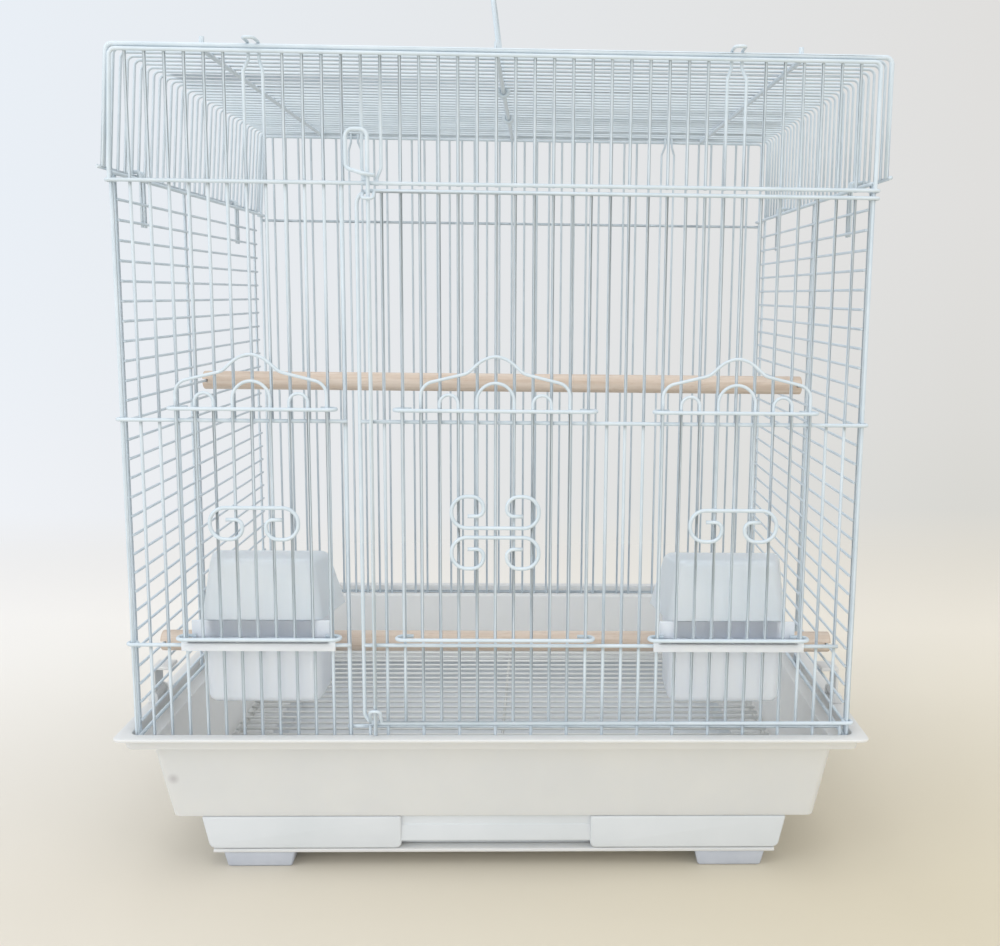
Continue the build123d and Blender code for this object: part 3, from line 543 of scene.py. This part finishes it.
foot_width = 48
foot_depth = 30
foot_sole_width = 42.6
foot_sole_depth = 28
foot_x = 158.7
foot_front_y = -146.85
foot_rear_y = 141.85
foot_plastic = moulded_plastic(
    "cool grey foot plastic", full=(187, 192, 202), thin=(178, 184, 195), patch_scale=60,
    gloss=0.45, dullness=0.6, grain=0.3)
foot_pattern = block(
    "foot_pattern", (-foot_width / 2, -foot_depth / 2, 0),
    (foot_width / 2, foot_depth / 2, 11.2))
pick_faces(foot_pattern, lambda normal: normal.z < -0.9)
bpy.ops.transform.resize(
    value=(foot_sole_width / foot_width, foot_sole_depth / foot_depth, 1),
    center_override=(0, 0, 0))
bpy.ops.object.mode_set(mode="OBJECT")
soften(foot_pattern, 1.6, 4)
for end, y in (("front", foot_front_y), ("rear", foot_rear_y)):
    for hand, x in (("left", -foot_x), ("right", foot_x)):
        foot = "foot_" + end + "_" + hand
        foot_block = own_copy(foot_pattern, foot + "_block")
        foot_block.location = (x * mm, y * mm, 0)
        apply_place(foot_block)
        finish_piece(foot_block, foot_plastic, "cage", foot)
bpy.data.objects.remove(foot_pattern)


# Drawer: a shallow tub that slides in the housing. Its front is two raised panels
# with soft corners, and a finger pull between them that overhangs a shadow gap.
def drawn_profile(name, points, low, high, along_depth=False):
    """Draws an outline point by point and pulls it out along the width or the depth."""
    bpy.ops.object.select_all(action="DESELECT")
    bpy.ops.mesh.primitive_plane_add(size=0.001, location=(0, 0, 0))
    piece = bpy.context.object
    piece.name = name
    bpy.ops.object.mode_set(mode="EDIT")
    bpy.ops.mesh.select_mode(type="VERT")
    bpy.ops.mesh.select_all(action="SELECT")
    bpy.ops.mesh.merge(type="CENTER")
    spots = []
    for a, b in list(points) + [points[0]]:
        spots.append((a * mm, low * mm, b * mm) if along_depth else (low * mm, a * mm, b * mm))
    bpy.ops.transform.translate(value=spots[0])
    for i in range(1, len(spots)):
        move = [spots[i][k] - spots[i - 1][k] for k in range(3)]
        bpy.ops.mesh.extrude_vertices_move(TRANSFORM_OT_translate={"value": move})
    bpy.ops.mesh.select_all(action="SELECT")
    bpy.ops.mesh.remove_doubles(threshold=0.000001)
    bpy.ops.mesh.edge_face_add()
    pull = (high - low) * mm
    bpy.ops.mesh.extrude_region_move(
        TRANSFORM_OT_translate={"value": (0, pull, 0) if along_depth else (pull, 0, 0)})
    bpy.ops.mesh.select_all(action="SELECT")
    bpy.ops.mesh.normals_make_consistent(inside=False)
    bpy.ops.object.mode_set(mode="OBJECT")
    return piece


panel_middle_x = 129.75
panel_half_width = 66.25
panel_foot_z = 13.9
panel_top_z = 36.5
panel_middle_z = (panel_foot_z + panel_top_z) / 2
panel_draw_in = 5
panel_corner_radius = 3.6
drawer_parts = []
for side in (-1, 1):
    middle_x = side * panel_middle_x
    panel = block(
        "drawer_panel", (middle_x - panel_half_width, -tray_half_depth, panel_foot_z),
        (middle_x + panel_half_width, -153.0, panel_top_z))
    for corner in panel.data.vertices:
        corner.select = corner.co.z < panel_middle_z * mm
        if corner.select and side * corner.co.x > panel_middle_x * mm:
            corner.co.x -= side * panel_draw_in * mm
    for edge in panel.data.edges:
        start, end = [panel.data.vertices[i] for i in edge.vertices]
        edge.select = start.select and abs(start.co.y - end.co.y) > 5 * mm
    for face in panel.data.polygons:
        face.select = False
    bpy.context.tool_settings.mesh_select_mode = (False, True, False)
    bpy.ops.object.mode_set(mode="EDIT")
    bpy.ops.mesh.bevel(offset=panel_corner_radius * mm, segments=6, affect="EDGES")
    bpy.ops.object.mode_set(mode="OBJECT")
    soften(panel, 1.3, 4)
    drawer_parts.append(panel)

pull_outline = [
    (-152.85, 36.5), (-160.6, 36.5), (-160.6, 30.4), (-161.1, 29.9), (-162.2, 19.4),
    (-161.6, 18.5), (-157.5, 18.3), (-155.0, 13.9), (-152.85, 13.9),
]
finger_pull = drawn_profile("finger_pull", pull_outline, -65, 65)
soften(finger_pull, 0.35, 2)
drawer_parts.append(finger_pull)

drawer_tub = block("drawer_tub", (-185, -153.35, 14), (185, 153.85, 35))
pick_faces(drawer_tub, lambda normal: normal.z > 0.9)
bpy.ops.mesh.delete(type="FACE")
bpy.ops.object.mode_set(mode="OBJECT")
walls(drawer_tub, 2)
soften(drawer_tub, 0.8)
drawer_parts.append(drawer_tub)
drawer = joined("drawer_tub_and_front", drawer_parts)
drawer_plastic = moulded_plastic(
    "cool white drawer plastic", full=(211, 215, 219), thin=(204, 209, 213), patch_scale=18,
    gloss=0.36, dullness=0.5, grain=0.2)
finish_piece(drawer, drawer_plastic, "drawer", "drawer")


# Wire panels, doors, handle and latch: steel wire, spot welded, dipped and powder
# coated in a pale blue, with the floor grille in a grey white. The coat varies a
# little in shade and gloss and is slightly orange-peeled along the wires.
def powder_coat(name, thick, thin):
    """A powder coat on wire, with its patches of shade and gloss and its fine peel."""
    coat = bpy.data.materials.new(name)
    coat.use_nodes = True
    tree = coat.node_tree
    shader = tree.nodes["Principled BSDF"]
    shader.inputs["Coat Weight"].default_value = 0.2
    shader.inputs["Coat Roughness"].default_value = 0.25
    where = add_node(tree, "TexCoord")
    patches = add_node(tree, "TexNoise", None, {"Scale": 60.0, "Detail": 3.0})
    tree.links.new(where.outputs["Object"], patches.inputs["Vector"])
    coat_shades = shade_ramp(tree, ((0.3, thick), (0.7, thin)))
    tree.links.new(patches.outputs["Fac"], coat_shades.inputs["Fac"])
    tree.links.new(coat_shades.outputs["Color"], shader.inputs["Base Color"])
    gloss_patches = add_node(tree, "MapRange", None, {
        "From Min": 0.3, "From Max": 0.7, "To Min": 0.36, "To Max": 0.5})
    tree.links.new(patches.outputs["Fac"], gloss_patches.inputs["Value"])
    tree.links.new(gloss_patches.outputs["Result"], shader.inputs["Roughness"])
    peel = add_node(tree, "TexNoise", None, {"Scale": 1400.0, "Detail": 2.0})
    tree.links.new(where.outputs["Object"], peel.inputs["Vector"])
    peel_bump = add_node(tree, "Bump", None, {"Strength": 0.25, "Distance": 0.0001})
    tree.links.new(peel.outputs["Fac"], peel_bump.inputs["Height"])
    tree.links.new(peel_bump.outputs["Normal"], shader.inputs["Normal"])
    return coat


panel_coat = powder_coat("pale blue powder coat", thick=(195, 208, 217), thin=(206, 217, 225))
grille_coat = powder_coat("grey white powder coat", thick=(222, 224, 222), thin=(230, 231, 228))
wire_panels = (
    ("front_frame", "cage", panel_coat), ("left_side_panel", "cage", panel_coat),
    ("right_side_panel", "cage", panel_coat), ("back_panel", "cage", panel_coat),
    ("roof_panel", "cage", panel_coat), ("floor_grille", "cage", grille_coat),
    ("front_door", "door", panel_coat), ("left_feeder_door", "left_feeder", panel_coat),
    ("center_door", "middle_door", panel_coat), ("right_feeder_door", "right_feeder", panel_coat),
    ("latch_pin", "latch", panel_coat), ("carry_handle", "handle", panel_coat),
)
for panel, body, coat in wire_panels:
    coated = own_copy(frame["nodes"][panel], panel + "_coated")
    del coated["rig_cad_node"]
    bpy.ops.object.mode_set(mode="EDIT")
    bpy.ops.mesh.select_all(action="SELECT")
    bpy.ops.mesh.remove_doubles(threshold=0.00001)
    bpy.ops.object.mode_set(mode="OBJECT")
    bpy.ops.object.shade_smooth_by_angle(angle=math.radians(35))
    finish_piece(coated, coat, body, panel)


# Perches: two beech dowels, left unvarnished, with a saw slot across each end that
# straddles a level wire of the side panels.
perch_radius = 7
perch_length = 461.4
slot_start = 226.4
slot_half_height = 1.2
beech = bpy.data.materials.new("bare beech")
beech.use_nodes = True
tree = beech.node_tree
shader = tree.nodes["Principled BSDF"]
where = add_node(tree, "TexCoord")
stretch = add_node(tree, "Mapping", None, {"Scale": (9.0, 300.0, 300.0)})
tree.links.new(where.outputs["Object"], stretch.inputs["Vector"])
grain = add_node(tree, "TexNoise", None, {"Scale": 1.0, "Detail": 4.0, "Roughness": 0.6})
tree.links.new(stretch.outputs["Vector"], grain.inputs["Vector"])
wood_shades = shade_ramp(tree, ((0.3, (197, 178, 161)), (0.68, (217, 203, 190))))
tree.links.new(grain.outputs["Fac"], wood_shades.inputs["Fac"])
fleck_stretch = add_node(tree, "Mapping", None, {"Scale": (110.0, 1400.0, 1400.0)})
tree.links.new(where.outputs["Object"], fleck_stretch.inputs["Vector"])
flecks = add_node(tree, "TexNoise", None, {"Scale": 1.0, "Detail": 1.0})
tree.links.new(fleck_stretch.outputs["Vector"], flecks.inputs["Vector"])
fleck_share = add_node(tree, "MapRange", None, {
    "From Min": 0.62, "From Max": 0.74, "To Max": 0.4})
tree.links.new(flecks.outputs["Fac"], fleck_share.inputs["Value"])
flecked = add_node(tree, "Mix", {"data_type": "RGBA"}, {"B": paint_code(176, 148, 124)})
tree.links.new(fleck_share.outputs["Result"], flecked.inputs["Factor"])
tree.links.new(wood_shades.outputs["Color"], flecked.inputs["A"])
ends = add_node(tree, "SeparateXYZ")
tree.links.new(where.outputs["Object"], ends.inputs["Vector"])
from_middle = add_node(tree, "Math", {"operation": "ABSOLUTE"})
tree.links.new(ends.outputs["X"], from_middle.inputs[0])
end_share = add_node(tree, "MapRange", None, {
    "From Min": 0.2296, "From Max": 0.2304, "To Max": 0.55})
tree.links.new(from_middle.outputs["Value"], end_share.inputs["Value"])
end_grain = add_node(tree, "Mix", {"data_type": "RGBA"}, {"B": paint_code(186, 160, 136)})
tree.links.new(end_share.outputs["Result"], end_grain.inputs["Factor"])
tree.links.new(flecked.outputs["Result"], end_grain.inputs["A"])
tree.links.new(end_grain.outputs["Result"], shader.inputs["Base Color"])
wood_dullness = add_node(tree, "MapRange", None, {"To Min": 0.55, "To Max": 0.78})
tree.links.new(grain.outputs["Fac"], wood_dullness.inputs["Value"])
tree.links.new(wood_dullness.outputs["Result"], shader.inputs["Roughness"])
wood_bump = add_node(tree, "Bump", None, {"Strength": 0.35, "Distance": 0.00015})
tree.links.new(grain.outputs["Fac"], wood_bump.inputs["Height"])
tree.links.new(wood_bump.outputs["Normal"], shader.inputs["Normal"])

for perch, y, z in (("upper_perch", -8.25, 315.7), ("lower_perch", -121.25, 145.1)):
    bpy.ops.object.select_all(action="DESELECT")
    bpy.ops.mesh.primitive_cylinder_add(
        vertices=40, radius=perch_radius * mm, depth=perch_length * mm,
        location=(0, y * mm, z * mm), rotation=(0, math.radians(90), 0))
    dowel = bpy.context.object
    dowel.name = perch + "_dowel"
    apply_place(dowel)
    soften(dowel, 0.8, 2)
    for side in (-1, 1):
        reach = sorted((side * slot_start, side * 233))
        saw_cut = block(
            "saw_cut", (reach[0], y - 9, z - slot_half_height),
            (reach[1], y + 9, z + slot_half_height))
        slot_cut = dowel.modifiers.new("slot", "BOOLEAN")
        slot_cut.operation = "DIFFERENCE"
        slot_cut.object = saw_cut
        bpy.context.view_layer.objects.active = dowel
        bpy.ops.object.modifier_apply(modifier=slot_cut.name)
        bpy.data.objects.remove(saw_cut)
    pick_only(dowel)
    bpy.ops.object.shade_smooth_by_angle(angle=math.radians(35))
    finish_piece(dowel, beech, "cage", perch)


# Seed cups: milky plastic tubs with thin walls that hang inside the front by a
# stepped flange, whose lip hooks down over the rail outside.
def milky(name, full, thin, clear, depth):
    """A cloudy plastic that light soaks into."""
    plastic = moulded_plastic(
        name, full, thin, patch_scale=22, gloss=0.3, dullness=0.45, grain=0.15)
    shader = plastic.node_tree.nodes["Principled BSDF"]
    shader.inputs["Transmission Weight"].default_value = clear
    shader.inputs["Subsurface Weight"].default_value = 0.6
    shader.inputs["Subsurface Radius"].default_value = (1.0, 1.0, 1.0)
    shader.inputs["Subsurface Scale"].default_value = depth
    shader.inputs["IOR"].default_value = 1.45
    return plastic


cup_x = 149.5
cup_middle_y = -151.8
cup_top_z = 175.5
flange_half_width = 44.3
lip_half_width = 48.4
flange_front_y = -183.15
flange_back_y = -172.35
flange_foot_z = 162.7
flange_wall = 1.6
cup_plastic = milky(
    "milky cup plastic", full=(240, 247, 255), thin=(234, 242, 255), clear=0.08, depth=0.01)
cup_outlines = [
    (31.5, 15.6, 121.7), (34.5, 18.6, 123.2), (35.3, 19.4, 126.0), (36.4, 20.55, cup_top_z),
    (38.0, 22.15, cup_top_z), (36.95, 21.1, 124.8), (36.4, 20.5, 122.3), (35.0, 19.1, 120.6),
    (32.8, 16.9, 120.0),
]
for cup, body, x in (("left_cup", "cage", -cup_x), ("right_cup", "door", cup_x)):
    shell = moulded_shell(cup + "_tub", cup_outlines, radius=6, segments=6)
    shell.location = (x * mm, cup_middle_y * mm, 0)
    apply_place(shell)
    soften(shell, 0.4, 2, 50)
    flange_top_z = flange_foot_z + flange_wall
    flange = [
        block("flange_plate",
              (x - flange_half_width, flange_back_y - flange_wall, flange_foot_z),
              (x + flange_half_width, flange_back_y, cup_top_z)),
        block("flange_shelf",
              (x - flange_half_width, flange_front_y, flange_foot_z),
              (x + flange_half_width, flange_back_y, flange_top_z)),
        block("flange_lip",
              (x - lip_half_width, flange_front_y, 158.0),
              (x + lip_half_width, flange_front_y + flange_wall, flange_top_z)),
    ]
    for part in flange:
        soften(part, 0.5, 2)
    cup_moulding = joined(cup + "_moulding", [shell] + flange)
    finish_piece(cup_moulding, cup_plastic, body, cup)


# Hoods: clearer covers over the cups, wider towards the cage, with rounded top
# edges. They are open below and at the back, where the bird reaches in.
hood_foot = {"z": 175.8, "front_y": -173.95, "back_y": -131.95, "front_half": 38, "back_half": 46}
hood_top = {"z": 214.8, "front_y": -169.95, "back_y": -146.95, "front_half": 32, "back_half": 38}
hood_middle_y = (hood_foot["front_y"] + hood_foot["back_y"]) / 2
hood_middle_z = (hood_foot["z"] + hood_top["z"]) / 2
hood_plastic = milky(
    "milky hood plastic", full=(240, 249, 255), thin=(233, 245, 255), clear=0.22, depth=0.01)
for hood, body, x in (("left_hood", "cage", -cup_x), ("right_hood", "door", cup_x)):
    half = hood_foot["front_half"]
    cover = block(
        hood + "_cover", (x - half, hood_foot["front_y"], hood_foot["z"]),
        (x + half, hood_foot["back_y"], hood_top["z"]))
    for corner in cover.data.vertices:
        level = hood_top if corner.co.z > hood_middle_z * mm else hood_foot
        face = "back" if corner.co.y > hood_middle_y * mm else "front"
        way = 1 if corner.co.x > x * mm else -1
        corner.co.x = (x + way * level[face + "_half"]) * mm
        corner.co.y = level[face + "_y"] * mm
        corner.co.z = level["z"] * mm
    pick_faces(cover, lambda normal: normal.z < -0.9 or normal.y > 0.5)
    bpy.ops.mesh.delete(type="FACE")
    bpy.ops.object.mode_set(mode="OBJECT")
    soften(cover, 4.5, 6)
    walls(cover, 1.4)
    bpy.ops.object.shade_smooth_by_angle(angle=math.radians(40))
    finish_piece(cover, hood_plastic, body, hood)


# Side clips: hard white levers that turn on a pin between the rim's lugs. A
# tongue at the top reaches over a level wire and holds the cage down.
lever_half_thickness = 1.2
lever_top_z = 126.7
tongue_under_z = 124.3
tongue_reach = 11.5
lever_y = (-124.25, -108.25)
pin_y = (-127.05, -105.45)
clip_plastic = moulded_plastic(
    "white clip plastic", full=(222, 222, 220), thin=(214, 214, 213), patch_scale=80,
    gloss=0.35, dullness=0.5, grain=0.2)
for side, clip, body in (
        (-1, "left_clip", "left_side_clip"), (1, "right_clip", "right_side_clip")):
    x = side * clip_x
    inner_x = x - side * lever_half_thickness
    outer_x = x + side * lever_half_thickness
    tongue_x = x - side * tongue_reach
    lever_outline = [
        (inner_x, clip_axis_z), (outer_x, clip_axis_z), (outer_x, lever_top_z),
        (tongue_x, lever_top_z), (tongue_x, tongue_under_z), (inner_x, tongue_under_z),
    ]
    lever = drawn_profile("clip_lever", lever_outline, lever_y[0], lever_y[1], along_depth=True)
    soften(lever, 0.7)
    barrel = stadium("clip_barrel", x, lever_y[0], lever_y[1], clip_axis_z, radius=3.0, drop=0)
    pin = stadium("clip_pin", x, pin_y[0], pin_y[1], clip_axis_z, radius=1.2, drop=0)
    clip_lever = joined(clip + "_lever", [lever, barrel, pin])
    finish_piece(clip_lever, clip_plastic, body, clip)
